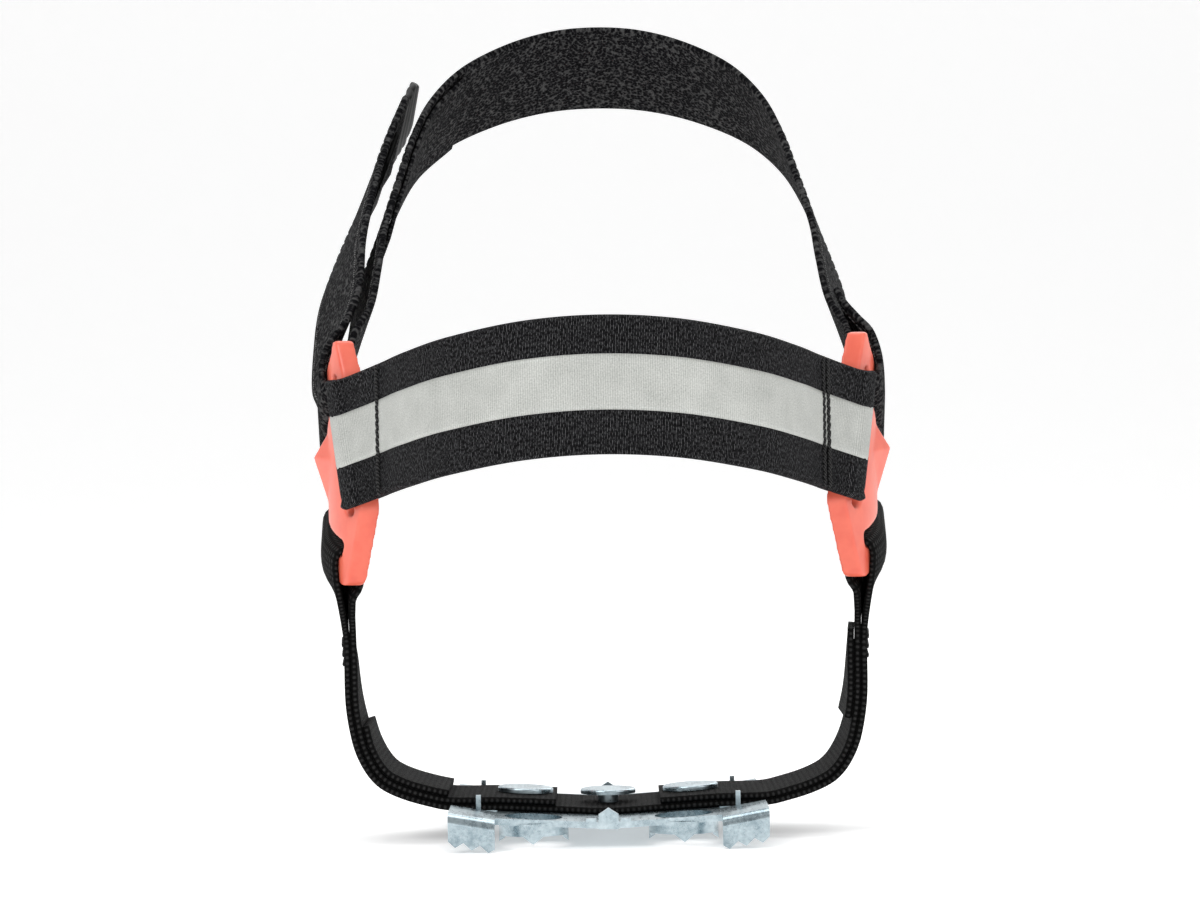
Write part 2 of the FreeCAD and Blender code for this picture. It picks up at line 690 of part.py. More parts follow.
def above(point):
    """Distance of a point above the upper bars."""
    return (point - INSTEP_ORIGIN).dot(UP)


def past_flex(shape):
    """What of an instep part lies above the flex line."""
    low = INSTEP_ORIGIN + UP * INSTEP_FLEX_HIGH
    corners = [
        low - RUN * 80 + Vector(-90, 0, 0), low + RUN * 80 + Vector(-90, 0, 0),
        low + RUN * 80 + UP * 160 + Vector(-90, 0, 0),
        low - RUN * 80 + UP * 160 + Vector(-90, 0, 0),
    ]
    return shape.common(extruded(corners, Vector(180, 0, 0)))


def instep_loop(neck_low, neck_high):
    """Strap turned round the right upper bar, closing to a neck at the flex line."""
    outer = []
    inner = []
    for share in (-1.0, -0.33, 0.33, 1.0):
        centre = INSTEP_ORIGIN + RUN * (share * STRAP_HALF)
        low = -BAR_WIDTH - BAR_CLEAR
        x = buckle_x(centre.y)
        foot = buckle_x(centre.y + UP.y * low)
        half = BUCKLE_THICK / 2 + BAR_CLEAR + FLEX_GAP
        hole = [
            (foot - half, low), (foot + half, low), (x + half, 0.0),
            (x + half - 1.0, BAR_CLEAR + 0.6), (x - half + 1.0, BAR_CLEAR + 0.6), (x - half, 0.0),
        ]
        w = WEBBING
        skin = [
            (foot - half - w, low + 0.6), (foot - half + 0.4, low - w),
            (foot + half - 0.4, low - w), (foot + half + w, low + 0.6), (x + half + w, 0.0),
            (neck_high, INSTEP_FLEX_LOW), (neck_low, INSTEP_FLEX_LOW), (x - half - w, 0.0),
        ]
        for wires, section in ((outer, skin), (inner, hole)):
            points = [centre + Vector(a, 0, 0) + UP * b for a, b in section]
            wires.append(Part.makePolygon(points + [points[0]]))
    return Part.makeLoft(outer, True, True).cut(Part.makeLoft(inner, True, True))


def flex_piece(low, high):
    """Short piece of webbing that bends between two sections of four corners each."""
    wires = [Part.makePolygon(list(points) + [points[0]]) for points in (low, high)]
    return Part.makeLoft(wires, True, True)


def sole_flex():
    """Bending part of the right riser, between the sewn run and the loop."""
    sections = []
    for z in (FLEX_LOW_Z + FLEX_GAP, FLEX_HIGH_Z - FLEX_GAP):
        shift = forward_shift(z)
        sections.append([
            Vector(RISER_INNER_X, -STRAP_HALF + shift, z),
            Vector(RISER_OUTER_X, -STRAP_HALF + shift, z),
            Vector(RISER_OUTER_X, STRAP_HALF + shift, z),
            Vector(RISER_INNER_X, STRAP_HALF + shift, z),
        ])
    return flex_piece(*sections)


def instep_flex(low_span, high_span):
    """Bending part just above the right upper bar; each span is (inner X, outer X, lean)."""
    sections = []
    levels = (INSTEP_FLEX_LOW + FLEX_GAP, INSTEP_FLEX_HIGH - FLEX_GAP)
    for distance, (inner, outer, lean) in zip(levels, (low_span, high_span)):
        corners = []
        for share, x in ((-1, inner), (-1, outer), (1, outer), (1, inner)):
            across = RUN + Vector(lean, 0, 0)
            corners.append(instep_point(distance, x) + across * (share * STRAP_HALF))
        sections.append(corners)
    return flex_piece(*sections)


def pull_tab(last, before):
    """Soft rubber finger tab that carries on from the end of the closure tail."""
    along = (last[0] - before[0]).normalize()
    start = (last[0] + along * 0.1, last[1], last[2])
    end = (last[0] + along * TAB_LENGTH, last[1], last[2])
    return strip([start, end], -TAIL_THICK / 2, TAIL_THICK / 2, 3.0 - STRAP_HALF, STRAP_HALF - 3.0)


def all_parts():
    """Every node of the cleat by name."""
    arch = instep_arch()
    outer_sign = -1 if arch[0][1].x > 0 else 1
    half = outer_sign * -INSTEP_THICK / 2
    pile = [s for s in arch if s[0].x < 0 and PILE_RANGE[0] <= above(s[0]) <= PILE_RANGE[1]]
    tail = instep_stations(TAIL_PATH, 16, tail_across)
    hook = [s for s in tail if HOOK_RANGE[0] <= above(s[0]) <= HOOK_RANGE[1]]
    sewn = instep_stations(RIGHT_TAIL_PATH, 6, instep_across)
    tail_out = -outer_sign * TAIL_THICK / 2
    parts = {
        "traction_plate": traction_plate(),
        "strap_rivets": strap_rivets(),
        "sole_strap": drilled(sole_layer(0, lambda p: True)),
        "sole_strap_inner_layer": drilled(sole_layer(1, lambda p: True)),
        "left_strap_tail": sole_layer(2, lambda p: p.x < -31 and p.z < LEFT_TAIL_TOP_Z + 1),
        "right_strap_tail": sole_layer(2, lambda p: p.x > 40 and p.z > RIGHT_TAIL_END_Z - 1),
        "right_bar_tack": bar_tack(1),
        "left_bar_tack": bar_tack(-1),
        "right_sole_flex": sole_flex(),
        "right_buckle": buckle(),
        "right_sole_loop": sole_loop(),
        "right_heel_loop": heel_loop(),
        "right_reflective_end": reflective_end(),
        "right_heel_seam": heel_seam(),
        "right_instep_loop": instep_loop(NECK_INNER_X, NECK_OUTER_X),
        "right_instep_flex": instep_flex(
            (NECK_INNER_X, NECK_OUTER_X, NECK_LEAN), (FLEX_INNER_X, FLEX_OUTER_X, INSTEP_LEAN)
        ),
        "left_instep_fold": mirrored(instep_loop(NECK_INNER_X, LEFT_NECK_OUTER_X)),
        "left_instep_flex": mirrored(
            instep_flex(
                (NECK_INNER_X, LEFT_NECK_OUTER_X, NECK_LEAN),
                (FLEX_INNER_X, LEFT_FLEX_OUTER_X, (INSTEP_LEAN + TAIL_LEAN) / 2),
            )
        ),
        "instep_strap": past_flex(strip(arch, -half, half, -STRAP_HALF, STRAP_HALF)),
        "right_instep_tail": past_flex(
            strip(sewn, -half * 0.85, half * 0.85, -STRAP_HALF, STRAP_HALF)
        ),
        "loop_pile_tape": strip(
            pile, half + outer_sign * -0.05, half - outer_sign * (0.05 + PILE_THICK),
            -STRAP_HALF + 1.0, STRAP_HALF - 1.0,
        ),
        "heel_band": trimmed(
            strip(band_stations(), 0.0, -ELASTIC, -STRAP_HALF, STRAP_HALF),
            BAND_END_X,
        ),
        "reflective_strip": trimmed(
            strip(
                band_stations(), LAYER_GAP, LAYER_GAP + REFLECTIVE_THICK,
                REFLECTIVE_DROP - REFLECTIVE_WIDTH / 2, REFLECTIVE_DROP + REFLECTIVE_WIDTH / 2,
            ),
            BAND_END_X,
        ),
        "closure_tail": mirrored(
            past_flex(strip(tail, -tail_out, tail_out, -STRAP_HALF, STRAP_HALF))
        ),
        "hook_patch": mirrored(
            strip(
                hook, -tail_out + outer_sign * 0.05, -tail_out + outer_sign * (0.05 + HOOK_THICK),
                -STRAP_HALF + 1.0, STRAP_HALF - 1.0,
            ),
        ),
    }
    parts["pull_tab"] = mirrored(pull_tab(tail[-1], tail[-2]))
    for node in ("buckle", "sole_flex", "sole_loop", "heel_loop", "reflective_end", "heel_seam"):
        parts["left_" + node] = mirrored(parts["right_" + node])
    return parts


PARTS = all_parts()
BOX = Part.makeCompound(list(PARTS.values())).BoundBox
for name, shape in PARTS.items():
    shape.translate(Vector(-BOX.Center.x, -BOX.Center.y, -BOX.ZMin))
    shape.exportStep("parts/" + name + ".step")
print("shift", -BOX.Center.x, -BOX.Center.y, -BOX.ZMin)
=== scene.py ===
import math
import bpy
import numpy as np
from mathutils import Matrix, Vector


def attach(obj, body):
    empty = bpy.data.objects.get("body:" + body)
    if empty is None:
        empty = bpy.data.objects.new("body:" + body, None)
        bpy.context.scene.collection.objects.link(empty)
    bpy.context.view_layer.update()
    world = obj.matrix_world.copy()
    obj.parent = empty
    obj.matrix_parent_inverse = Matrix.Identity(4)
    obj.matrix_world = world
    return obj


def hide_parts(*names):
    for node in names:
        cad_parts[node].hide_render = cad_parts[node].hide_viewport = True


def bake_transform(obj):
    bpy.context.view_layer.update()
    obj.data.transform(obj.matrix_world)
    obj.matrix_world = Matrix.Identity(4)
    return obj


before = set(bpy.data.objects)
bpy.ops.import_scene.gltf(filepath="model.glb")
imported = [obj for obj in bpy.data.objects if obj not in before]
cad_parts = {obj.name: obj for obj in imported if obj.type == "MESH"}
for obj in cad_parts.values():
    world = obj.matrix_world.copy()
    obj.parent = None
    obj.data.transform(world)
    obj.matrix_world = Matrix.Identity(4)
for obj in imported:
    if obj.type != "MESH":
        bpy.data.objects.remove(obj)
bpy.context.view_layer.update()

# Lengths are millimetres in the plate's own frame; SHIFT moves them to the row frame.
MM = 0.001
SHIFT = np.array([0.8116, -9.7802, 0.0])

STRAP_HALF = 12.5
WEBBING = 1.25
PLY = 1.3                    # from one layer of webbing to the next
ELASTIC = 1.6
INSTEP_THICK = 1.8
TAIL_THICK = 1.5

# Lower and outer face of the sole strap, as (X, Z), from the middle of the plate.
STRAP_FACE = [
    (0.0, 4.85), (10.0, 5.37), (21.0, 5.95), (26.0, 5.98), (30.5, 6.15), (34.0, 6.9), (38.4, 8.2),
    (42.0, 9.8), (44.3, 11.6), (46.2, 14.2), (47.8, 17.6), (48.9, 21.5), (49.7, 25.5), (50.1, 29.0),
    (50.4, 33.4), (50.8, 38.8),
]
LEFT_TAIL_TOP = 26.0
RIGHT_TAIL_END = 20.0
LOOP_SHIFT = 4.5             # the risers lead forward to the middle of the loops
SHIFT_FROM_Z = 14.0
FLEX_HIGH_Z = 44.4
RISER_FLARE = 0.085          # how far a riser's front edge leans out per millimetre of width

TACK_ROWS = (33.8, 35.6, 37.4)
TACK_FACE_X = 50.42
TACK_FACE_SLOPE = 0.074
TACK_COUNT = 14
TACK_PITCH = 1.57

# Plan of the buckle's wall and its edges, as in the solid model.
WALL_HALF = 1.6
REAR_START = np.array([43.0, -16.5])
REAR_HEADING = math.radians(32.0)
FRONT_HEADING = math.radians(3.0)
REAR_RUN = 8.5
ARC_R = 26.0
BAR_LOW_START = (-10.0, 48.3)
BAR_LOW_RISE = 9.2 / 29.5
BAR_LOW_TALL = 5.24
REAR_LOW = (-15.5, 63.5)
REAR_LEAN = 5.7 / 26.0
REAR_BAR = 2.7

# Heel band: outer face in plan from the back to the seam, and its height.
BAND_FACE = [(0.0, -49.0), (14.3, -47.4), (28.0, -40.0), (36.5, -29.6), (41.3, -20.6)]
BAND_BACK_Z = 85.4
BAND_SEAM_Z = 77.9
BAND_BAR_Z = 75.4
BAND_SEAM_X = 41.9
REFLECTIVE_HALF = 5.0
REFLECTIVE_UP = 0.5

# Instep strap, as (distance above the upper bars, half width of the arch).
BAR_HIGH_START = np.array([0.0, -4.5, 93.0])
RUN = np.array([0.0, 28.0, -19.6]) / math.hypot(28.0, 19.6)
UP = np.array([0.0, -RUN[2], RUN[1]])
INSTEP_ORIGIN = BAR_HIGH_START + RUN * 16.7
ARCH = [
    (8.5, 49.2), (15.0, 47.9), (25.0, 46.7), (33.0, 45.9), (40.0, 44.4), (48.0, 42.4), (58.0, 39.8),
    (67.0, 36.0), (75.0, 29.5), (81.0, 20.0), (84.5, 10.0), (85.5, 0.0),
]
TAIL = [
    (8.5, 53.4), (12.0, 53.0), (20.0, 52.0), (31.0, 51.5), (40.0, 49.9), (52.0, 46.9),
    (60.0, 44.3), (68.0, 41.2),
]
RIGHT_TAIL = [(17.0, 50.0), (14.0, 50.8), (10.0, 52.4), (6.5, 53.6)]
ARCH_LEAN = 0.30             # how far the front edge leans out per millimetre of width
ARCH_LEAN_X = 47.0
TAIL_LEAN = 0.42
TAIL_LEAN_X = 51.5
LEAN_FULL_AT = 18.0
HOOK_FROM = 50.0
HOOK_TO = 66.0
PILE_FROM = 30.0
PILE_TO = 80.0
STITCH_IN = 2.3              # from a strap's edge to its line of stitches
STITCH_PITCH = 2.5
STITCH_LENGTH = 2.0

# How straps are sampled, and how their edges are rounded.
WEBBING_STEP = 0.9
ELASTIC_STEP = 0.7
INSTEP_STEP = 0.8
EDGE_SHARE = 0.55            # the part of a strap's thickness that its rounded edge takes up

# Cord in each edge of the elastic, and the groove beside it, as (height, from edge, width).
CORD = (0.30, 0.7, 0.45)
GROOVE = (0.30, 1.6, 0.30)

SEAM_STITCHES = 16
SEAM_PITCH = 1.5

BUCKLE_VOXEL = 0.26
BUCKLE_PASSES = 16

CLOTH_GLOSS = 0.06           # mirror reflection of every cloth and thread

CAMERA_PLACE = (-0.4, -668.0, 73.7)
CAMERA_ROLL = 1.0
CAMERA_LENS = 104.2
CAMERA_SENSOR = 36.0


def to_frame(points):
    """Millimetres in the plate's frame to metres in the row frame."""
    return (np.asarray(points, float) + SHIFT) * MM


# ---------------------------------------------------------------- shapes

def spline(control, at):
    """Catmull-Rom curve through control points, at parameters counted in spans."""
    control = np.asarray(control, float)
    last = len(control) - 1
    padded = np.vstack([2 * control[0] - control[1], control, 2 * control[-1] - control[-2]])
    span = np.clip(np.floor(at).astype(int), 0, last - 1)
    t = (at - span)[:, None]
    a, b, c, d = (padded[span + k] for k in range(4))
    return 0.5 * (
        2 * b + (c - a) * t + (2 * a - 5 * b + 4 * c - d) * t ** 2
        + (3 * b - a - 3 * c + d) * t ** 3
    )


def even_parameters(control, count):
    """Parameters of evenly spaced points along a curve."""
    dense = np.linspace(0, len(control) - 1, 40 * len(control))
    points = spline(control, dense)
    length = np.concatenate([[0], np.cumsum(np.linalg.norm(np.diff(points, axis=0), axis=1))])
    return np.interp(np.linspace(0, length[-1], count), length, dense)


def grid_from(control_at, across, spacing):
    """Grid of points: one curve for each place across the strap."""
    middle = control_at(0.0)
    length = np.linalg.norm(np.diff(np.asarray(middle, float), axis=0), axis=1).sum()
    at = even_parameters(middle, max(4, int(length / spacing)))
    return np.stack([spline(control_at(v), at) for v in across], axis=1)


def grid_normals(grid):
    """Unit normals of a grid."""
    normal = np.cross(np.gradient(grid, axis=0), np.gradient(grid, axis=1))
    return normal / np.linalg.norm(normal, axis=2, keepdims=True)


def across_samples(half, edge):
    """Places across a strap, closer together in its rounded edges."""
    inner = np.linspace(-half + edge, half - edge, 23)
    rim = half - edge * (1 - np.sin(np.linspace(0, math.pi / 2, 6)[1:]))
    return np.concatenate([-rim[::-1], inner, rim])


def flat_profile(across, half, thick):
    """Half thickness of plain webbing across its width, rounded at the edges."""
    edge = thick * EDGE_SHARE
    into = np.clip((np.abs(across) - (half - edge)) / edge, 0, 1)
    return thick / 2 * np.sqrt(np.maximum(1 - into ** 2, 0.0025))


def corded_profile(across, half, thick):
    """Elastic with a cord in each edge and a groove beside it."""
    away = half - np.abs(across)
    cord, groove = (
        height * np.exp(-((away - place) / width) ** 2) for height, place, width in (CORD, GROOVE)
    )
    return flat_profile(across, half, thick) + np.where(away > 0.05, cord - groove, 0.0)


def mesh_object(name, vertices, faces, uvs, material):
    """Object in the row frame from millimetre vertices, with one UV per vertex."""
    mesh = bpy.data.meshes.new(name)
    mesh.from_pydata(to_frame(vertices).tolist(), [], faces)
    layer = mesh.uv_layers.new(name="UVMap")
    loops = np.zeros(len(mesh.loops), int)
    mesh.loops.foreach_get("vertex_index", loops)
    layer.data.foreach_set("uv", np.asarray(uvs, np.float32)[loops].ravel())
    mesh.polygons.foreach_set("use_smooth", [True] * len(mesh.polygons))
    mesh.materials.append(material)
    mesh.validate()
    found = bpy.data.objects.new(name, mesh)
    bpy.context.scene.collection.objects.link(found)
    return found


def strap(name, grid, across, profile, material, side=1.0, offset=0.0):
    """Closed strap round a grid of its middle surface; side 1 or -1 says which way is out."""
    normal = grid_normals(grid) * side
    rows, columns = grid.shape[:2]
    lift = profile[None, :, None]
    out = grid + normal * (offset + lift)
    back = grid + normal * (offset - lift)
    middle = grid[:, columns // 2]
    along = np.concatenate([[0], np.cumsum(np.linalg.norm(np.diff(middle, axis=0), axis=1))])
    uv = np.stack(np.broadcast_arrays(along[:, None], np.asarray(across)[None, :]), axis=-1)
    vertices = np.concatenate([out.reshape(-1, 3), back.reshape(-1, 3)])
    uvs = np.concatenate([uv.reshape(-1, 2), uv.reshape(-1, 2)])
    size = rows * columns
    index = np.arange(size).reshape(rows, columns)
    faces = []
    for i in range(rows - 1):
        for j in range(columns - 1):
            quad = [index[i, j], index[i + 1, j], index[i + 1, j + 1], index[i, j + 1]]
            faces.append(quad)
            faces.append([size + k for k in quad[::-1]])
    border = list(index[:, 0]) + list(index[-1, 1:]) + list(index[-2::-1, -1])
    border += list(index[0, -2:0:-1])
    for a, b in zip(border, border[1:] + border[:1]):
        faces.append([b, a, size + a, size + b])
    if side < 0:
        faces = [face[::-1] for face in faces]
    return mesh_object(name, vertices, [[int(k) for k in f] for f in faces], uvs, material)


def stitch_mesh(name, spots, width, height, material):
    """Row of short plump stitches; each spot is (centre, direction, normal, length)."""
    ring = 8
    stack = 7
    vertices = []
    faces = []
    for centre, direction, normal, length in spots:
        direction = direction / np.linalg.norm(direction)
        normal = normal - direction * (normal @ direction)
        normal = normal / np.linalg.norm(normal)
        wide = np.cross(direction, normal)
        base = len(vertices)
        for i in range(stack):
            t = math.pi * (i + 0.5) / stack
            plump = math.sin(t) ** 0.6
            for k in range(ring):
                a = 2 * math.pi * k / ring
                vertices.append(
                    centre - direction * (math.cos(t) * length / 2)
                    + wide * (math.cos(a) * width / 2 * plump)
                    + normal * (math.sin(a) * height / 2 * plump)
                )
        for i in range(stack - 1):
            for k in range(ring):
                a = base + i * ring + k
                b = base + i * ring + (k + 1) % ring
                faces.append([a, b, b + ring, a + ring])
        faces.append([base + k for k in range(ring)][::-1])
        faces.append([base + (stack - 1) * ring + k for k in range(ring)])
    return mesh_object(name, vertices, faces, np.zeros((len(vertices), 2)), material)


def stitch_row(grid, column, pitch, length, lift, side):
    """Spots for stitches along one line of a grid."""
    line = grid[:, column]
    normal = (grid_normals(grid) * side)[:, column]
    along = np.concatenate([[0], np.cumsum(np.linalg.norm(np.diff(line, axis=0), axis=1))])
    direction = np.gradient(line, axis=0)
    direction /= np.linalg.norm(direction, axis=1, keepdims=True)
    spots = []
    count = int((along[-1] - pitch / 2) / pitch)
    for k in range(count + 1):
        s = pitch / 2 + k * pitch
        pick = [np.array([np.interp(s, along, a[:, i]) for i in range(3)])
                for a in (line, normal, direction)]
        spots.append((pick[0] + pick[1] * lift, pick[2], pick[1], length))
    return spots


def soft_copy(name, node, voxel, passes):
    """Copy of a solid's mesh with its moulded edges rounded over."""
    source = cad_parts[node]
    mesh = source.data.copy()
    mesh.name = name
    copy = bpy.data.objects.new(name, mesh)
    bpy.context.scene.collection.objects.link(copy)
    remesh = copy.modifiers.new("even", "REMESH")
    remesh.mode = "VOXEL"
    remesh.voxel_size = voxel * MM
    smooth = copy.modifiers.new("round", "SMOOTH")
    smooth.factor = 0.5
    smooth.iterations = passes
    graph = bpy.context.evaluated_depsgraph_get()
    done = bpy.data.meshes.new_from_object(copy.evaluated_get(graph))
    copy.modifiers.clear()
    copy.data = done
    done.polygons.foreach_set("use_smooth", [True] * len(done.polygons))
    return copy


# ---------------------------------------------------------------- materials

class Shader:
    """Node material with a Principled BSDF and small helpers for procedural detail."""

    def __init__(self, name, colour, roughness, metallic=0.0):
        self.material = bpy.data.materials.new(name)
        self.material.use_nodes = True
        self.nodes = self.material.node_tree.nodes
        self.links = self.material.node_tree.links
        self.main = self.nodes["Principled BSDF"]
        self.main.inputs["Base Color"].default_value = (*colour, 1.0)
        self.main.inputs["Roughness"].default_value = roughness
        self.main.inputs["Metallic"].default_value = metallic
        self.height = None

    def link(self, a, b):
        self.links.new(a, b)

    def coordinates(self, scale=(1.0, 1.0, 1.0), kind="UV"):
        source = self.nodes.new("ShaderNodeTexCoord")
        mapping = self.nodes.new("ShaderNodeMapping")
        mapping.inputs["Scale"].default_value = scale
        self.link(source.outputs[kind], mapping.inputs["Vector"])
        return mapping.outputs["Vector"]

    def noise(self, vector, scale, detail=3.0):
        node = self.nodes.new("ShaderNodeTexNoise")
        node.inputs["Scale"].default_value = scale
        node.inputs["Detail"].default_value = detail
        self.link(vector, node.inputs["Vector"])
        return node.outputs["Fac"]

    def cells(self, vector, scale):
        node = self.nodes.new("ShaderNodeTexVoronoi")
        node.inputs["Scale"].default_value = scale
        self.link(vector, node.inputs["Vector"])
        return node.outputs["Distance"]

    def wave(self, vector, scale, axis, distortion=0.0, detail_scale=1.0):
        node = self.nodes.new("ShaderNodeTexWave")
        node.bands_direction = axis
        node.inputs["Scale"].default_value = scale
        node.inputs["Distortion"].default_value = distortion
        node.inputs["Detail Scale"].default_value = detail_scale
        self.link(vector, node.inputs["Vector"])
        return node.outputs["Fac"]

    def maths(self, operation, a, b):
        node = self.nodes.new("ShaderNodeMath")
        node.operation = operation
        for socket, value in zip(node.inputs, (a, b)):
            if isinstance(value, (int, float)):
                socket.default_value = value
            else:
                self.link(value, socket)
        return node.outputs[0]

    def ramp(self, factor, stops):
        node = self.nodes.new("ShaderNodeValToRGB")
        elements = node.color_ramp.elements
        while len(elements) < len(stops):
            elements.new(0.5)
        for element, (position, colour) in zip(elements, stops):
            element.position = position
            element.color = (*colour, 1.0)
        self.link(factor, node.inputs["Fac"])
        return node.outputs["Color"]

    def colour(self, socket):
        self.link(socket, self.main.inputs["Base Color"])

    def rough(self, factor, low, high):
        node = self.nodes.new("ShaderNodeMapRange")
        node.inputs["To Min"].default_value = low
        node.inputs["To Max"].default_value = high
        self.link(factor, node.inputs["Value"])
        self.link(node.outputs["Result"], self.main.inputs["Roughness"])

    def bump(self, height, strength, distance):
        node = self.nodes.new("ShaderNodeBump")
        node.inputs["Strength"].default_value = strength
        node.inputs["Distance"].default_value = distance * MM
        self.link(height, node.inputs["Height"])
        if self.height is not None:
            self.link(self.height, node.inputs["Normal"])
        self.height = node.outputs["Normal"]
        self.link(self.height, self.main.inputs["Normal"])


def grey(value, blue=0.0):
    return (value, value, value * (1 + blue))


def webbing_material():
    """Black polyester webbing with a coarse plain weave."""
    s = Shader("black_webbing", grey(0.014), 0.8)
    s.main.inputs["Specular IOR Level"].default_value = CLOTH_GLOSS
    uv = s.coordinates()
    warp = s.wave(uv, 0.36, "Y")
    weft = s.wave(uv, 0.30, "X")
    weave = s.maths("MULTIPLY", warp, weft)
    fuzz = s.noise(uv, 3.2, 5.0)
    both = s.maths("ADD", weave, s.maths("MULTIPLY", fuzz, 0.8))
    s.colour(s.ramp(both, [(0.25, grey(0.001)), (0.62, grey(0.005)), (0.95, grey(0.026))]))
    s.rough(fuzz, 0.6, 0.9)
    s.bump(both, 0.9, 0.35)
    return s.material


def elastic_material():
    """Charcoal ribbed elastic: narrow ribs across its width, with pale specks painted in as specular
    glints.
    """
    s = Shader("black_elastic", grey(0.02), 0.75)
    s.main.inputs["Specular IOR Level"].default_value = CLOTH_GLOSS
    uv = s.coordinates()
    rib = s.wave(uv, 1.1, "X", 1.1, 1.2)
    # the pale specks from this noise are painted specular glints, not a colour of the elastic
    glint_place = s.coordinates((3.4, 1.7, 1.0))
    glint_speck = s.noise(glint_place, 1.0, 2.0)
    fuzz = s.noise(uv, 3.0, 6.0)
    rib_and_glint = s.maths("MULTIPLY", rib, s.maths("ADD", glint_speck, 0.12))
    both = s.maths("ADD", s.maths("MULTIPLY", rib_and_glint, 0.85), s.maths("MULTIPLY", fuzz, 0.22))
    # the palest stop of this ramp is the painted glint on the elastic
    s.colour(s.ramp(both, [
        (0.16, grey(0.001, 0.3)), (0.44, grey(0.003, 0.15)), (0.56, grey(0.018, 0.08)),
        (0.72, grey(0.15, 0.04)),
    ]))
    s.rough(fuzz, 0.6, 0.9)
    s.bump(both, 0.9, 0.22)
    return s.material


def reflective_material():
    """Silver glass-bead strip with a fine grain and a faint rib from the elastic below."""
    s = Shader("silver_reflective", (0.60, 0.61, 0.59), 0.5, 0.35)
    uv = s.coordinates()
    grain = s.noise(uv, 3.4, 4.0)
    blotch = s.noise(uv, 0.22, 3.0)
    rib = s.wave(uv, 0.75, "X", 1.6, 1.4)
    mixed = s.maths("ADD", s.maths("MULTIPLY", grain, 0.6), s.maths("MULTIPLY", blotch, 0.22))
    mixed = s.maths("ADD", mixed, s.maths("MULTIPLY", rib, 0.16))
    s.colour(s.ramp(mixed, [(0.3, (0.33, 0.34, 0.32)), (0.66, (0.62, 0.63, 0.60))]))
    s.rough(grain, 0.42, 0.62)
    s.bump(mixed, 0.4, 0.10)
    return s.material


def thread_material(name, pale):
    """Polyester sewing thread with a twist; pale is the lightness of its strands."""
    s = Shader(name, grey(0.012), 0.5)
    s.main.inputs["Specular IOR Level"].default_value = CLOTH_GLOSS
    where = s.coordinates((1.0, 1.0, 1.0), "Object")
    twist = s.wave(where, 900.0, "DIAGONAL")
    s.colour(s.ramp(twist, [(0.2, grey(pale * 0.15)), (0.9, grey(pale))]))
    s.bump(twist, 0.5, 0.1)
    return s.material


def pile_material():
    """Loop side of a hook-and-loop tape: dense short loops, woven at the borders."""
    s = Shader("loop_pile", grey(0.01, 0.3), 0.9)
    s.main.inputs["Specular IOR Level"].default_value = CLOTH_GLOSS
    uv = s.coordinates()
    loops = s.cells(uv, 1.7)
    fuzz = s.noise(uv, 2.4, 8.0)
    both = s.maths("ADD", s.maths("MULTIPLY", loops, 0.7), s.maths("MULTIPLY", fuzz, 0.6))
    s.colour(s.ramp(both, [(0.3, grey(0.001, 0.3)), (0.62, grey(0.005, 0.25)), (0.9, grey(0.07))]))
    s.bump(both, 1.0, 0.7)
    return s.material


def hook_material():
    """Hook side: rows of tiny moulded hooks."""
    s = Shader("hook_tape", grey(0.018), 0.55)
    s.main.inputs["Specular IOR Level"].default_value = CLOTH_GLOSS
    uv = s.coordinates()
    rows = s.maths("MULTIPLY", s.wave(uv, 0.28, "X"), s.wave(uv, 0.22, "Y"))
    s.colour(s.ramp(rows, [(0.2, grey(0.006)), (0.9, grey(0.045))]))
    s.bump(rows, 1.0, 0.6)
    return s.material


def coral_material():
    """Moulded coral plastic: satin, very slightly translucent, with a faint flow mottle."""
    s = Shader("coral_plastic", (0.90, 0.155, 0.085), 0.36)
    where = s.coordinates((1.0, 1.0, 1.0), "Object")
    mottle = s.noise(where, 260.0, 4.0)
    grain = s.noise(where, 2600.0, 2.0)
    s.colour(s.ramp(mottle, [(0.3, (0.80, 0.125, 0.075)), (0.7, (0.88, 0.17, 0.105))]))
    s.rough(mottle, 0.30, 0.46)
    s.bump(grain, 0.12, 0.05)
    s.main.inputs["Subsurface Weight"].default_value = 0.12
    s.main.inputs["Subsurface Radius"].default_value = (0.004, 0.0012, 0.0008)
    s.main.inputs["Coat Weight"].default_value = 0.15
    s.main.inputs["Coat Roughness"].default_value = 0.25
    return s.material


def zinc_material():
    """Bright zinc plating on stamped steel: bluish, with drawn streaks and darker patches painted in
    as dark reflections.
    """
    s = Shader("zinc_steel", (0.74, 0.80, 0.83), 0.3, 1.0)
    where = s.coordinates((1.0, 1.0, 1.0), "Object")
    streaked = s.coordinates((1.0, 0.12, 1.0), "Object")
    # the large darker patches from this noise are painted dark reflections; the drawn streaks are the
    # plating's own grain
    patch = s.noise(where, 190.0, 5.0)
    drawn = s.noise(streaked, 1500.0, 3.0)
    mixed = s.maths("ADD", s.maths("MULTIPLY", patch, 0.65), s.maths("MULTIPLY", drawn, 0.35))
    # the dark stops of this ramp hold the painted dark reflection
    s.colour(s.ramp(mixed, [
        (0.32, (0.22, 0.29, 0.33)), (0.50, (0.42, 0.51, 0.55)), (0.70, (0.66, 0.76, 0.80)),
    ]))
    s.rough(mixed, 0.16, 0.40)
    s.bump(mixed, 0.5, 0.12)
    return s.material


def rubber_material():
    """Soft black rubber with a fine matt grain."""
    s = Shader("black_rubber", grey(0.018), 0.6)
    where = s.coordinates((1.0, 1.0, 1.0), "Object")
    grain = s.noise(where, 2200.0, 3.0)
    s.colour(s.ramp(grain, [(0.3, grey(0.012)), (0.7, grey(0.028))]))
    s.bump(grain, 0.4, 0.08)
    return s.material


# ---------------------------------------------------------------- buckle geometry

def heading(angle):
    return np.array([math.sin(angle), math.cos(angle)])


def outward(angle):
    return np.array([math.cos(angle), -math.sin(angle)])


